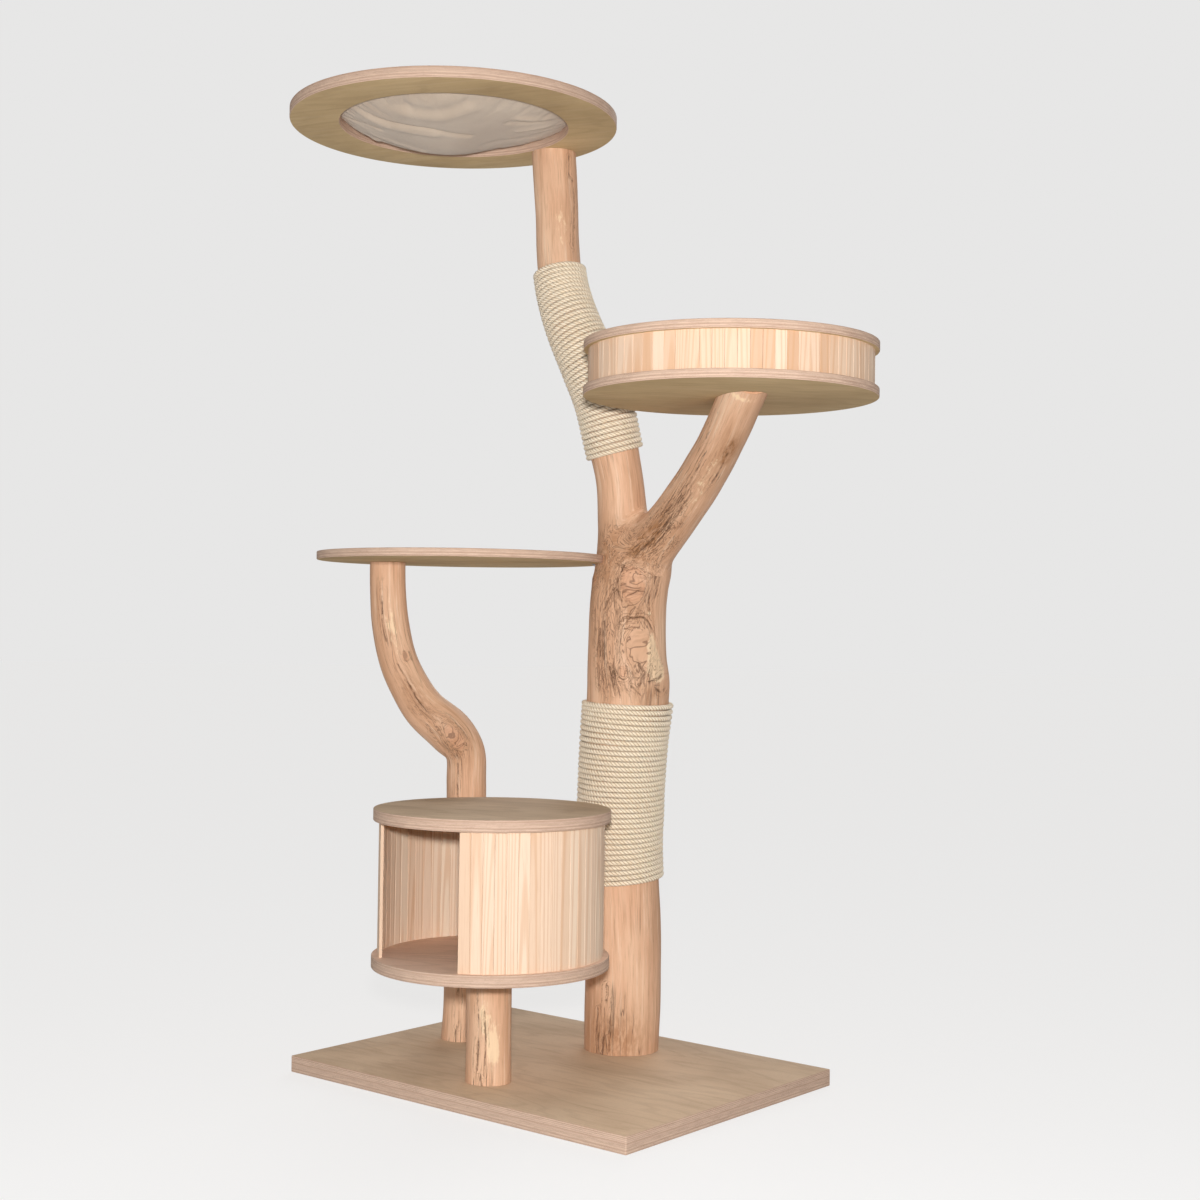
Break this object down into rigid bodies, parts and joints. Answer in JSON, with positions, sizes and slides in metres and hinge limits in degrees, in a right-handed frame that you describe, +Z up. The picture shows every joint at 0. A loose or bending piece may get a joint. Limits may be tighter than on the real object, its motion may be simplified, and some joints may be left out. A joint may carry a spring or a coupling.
{
  "type": "cat tree",
  "caption": "Free-standing cat tree of forked natural logs with a slatted cave, a platform, a slatted tray bed and a canvas hammock in a plywood ring.",
  "frame": {"origin": "centre of the base plate's underside", "axes": "+Z up, +X along the base plate's long side, the cave's doorway faces -Y"},
  "size_m": [1.151, 0.766, 1.7799],
  "materials": {
    "base_plywood": "sanded plywood with a thin clear oil",
    "plywood": "sanded plywood, layered edge",
    "log_wood": "peeled and sanded log, drying cracks and knots",
    "pine_staves": "planed pine",
    "sisal_rope": "twisted natural sisal",
    "canvas": "plain-woven cotton canvas",
    "zinc_steel": "zinc plated"
  },
  "bodies": {
    "stand": {"base_plate": "base_plywood", "main_trunk": "log_wood", "curved_branch": "log_wood", "front_post": "log_wood", "lower_sisal_wrap": "sisal_rope", "upper_sisal_wrap": "sisal_rope", "cave_floor": "plywood", "cave_wall": "pine_staves", "cave_roof": "plywood", "mid_platform": "plywood", "tray_floor": "plywood", "tray_wall": "pine_staves", "tray_rim": "plywood", "hammock_ring": "plywood", "trunk_lag_1": "zinc_steel", "trunk_lag_2": "zinc_steel", "trunk_lag_3": "zinc_steel", "post_lag_1": "zinc_steel", "curved_branch_lag_1": "zinc_steel", "trunk_washer_1": "zinc_steel", "trunk_washer_2": "zinc_steel", "trunk_washer_3": "zinc_steel", "post_washer_1": "zinc_steel", "curved_branch_washer_1": "zinc_steel", "tray_screw_1": "zinc_steel", "tray_screw_2": "zinc_steel", "tray_screw_3": "zinc_steel", "ring_screw_1": "zinc_steel", "ring_screw_2": "zinc_steel", "ring_screw_3": "zinc_steel", "platform_screw_1": "zinc_steel", "platform_screw_2": "zinc_steel", "platform_screw_3": "zinc_steel", "cave_screw_1": "zinc_steel", "cave_screw_2": "zinc_steel", "cave_screw_3": "zinc_steel", "platform_slant_screw": "zinc_steel", "lower_rope_nail_1": "zinc_steel", "lower_rope_nail_2": "zinc_steel", "upper_rope_nail_1": "zinc_steel", "upper_rope_nail_2": "zinc_steel"},
    "hammock": {"hammock_canvas": "canvas", "hammock_hoop": "zinc_steel"}
  },
  "joints": [
    {"name": "hammock_lift", "type": "slide", "parent": "stand", "child": "hammock", "axis": [0, 0, 1], "range_m": [0, 0.15]}
  ]
}
